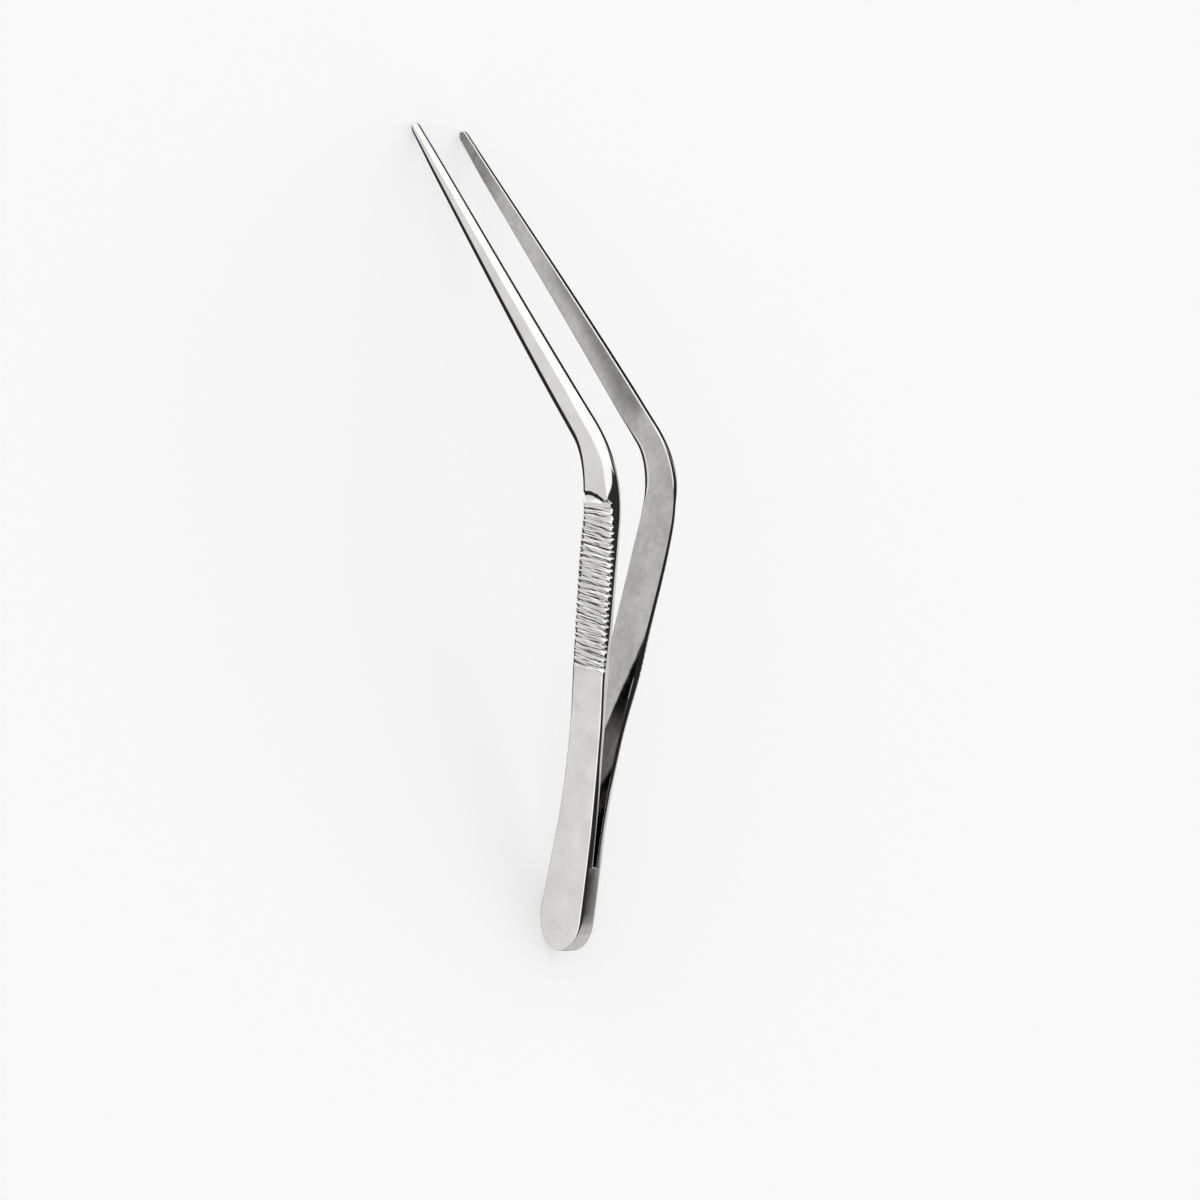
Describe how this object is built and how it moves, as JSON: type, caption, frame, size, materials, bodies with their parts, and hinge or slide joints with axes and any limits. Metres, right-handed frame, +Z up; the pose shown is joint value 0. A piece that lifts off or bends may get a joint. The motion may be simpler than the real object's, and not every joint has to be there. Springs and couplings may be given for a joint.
{
  "type": "ear forceps",
  "caption": "Angled spring ear forceps: two knee-bent stainless arms welded at a rounded heel, with cross-grooved grips and long tapering jaws.",
  "frame": {"origin": "centre of the bounding box at its bottom, on the surface that the heel and both jaw tips rest on", "axes": "+X from the jaw tips to the heel along the surface, +Y from the near arm to the far arm, +Z up towards the knee"},
  "size_m": [0.1402, 0.0148, 0.0384],
  "materials": {
    "polished_steel": "mirror-polished stainless instrument steel",
    "weld_metal": "ground and polished flush with the heel"
  },
  "bodies": {
    "heel": {"heel_half_near": "polished_steel", "heel_half_far": "polished_steel", "heel_weld": "weld_metal"},
    "near_arm": {"arm_near": "polished_steel"},
    "far_arm": {"arm_far": "polished_steel"}
  },
  "joints": [
    {"name": "near_arm_flex", "type": "hinge", "parent": "heel", "child": "near_arm", "pos_m": [0.0522, -0.0005, 0.01138], "axis": [-0.4518, 0, -0.8921], "range_deg": [0, 2.51], "stiffness_Nm_per_rad": 2},
    {"name": "far_arm_flex", "type": "hinge", "parent": "heel", "child": "far_arm", "pos_m": [0.0522, 0.0005, 0.01138], "axis": [0.4518, 0, 0.8921], "range_deg": [0, 2.51], "stiffness_Nm_per_rad": 2}
  ],
  "couplings": [
    {"joint": "far_arm_flex", "follows": "near_arm_flex", "ratio": 1}
  ]
}
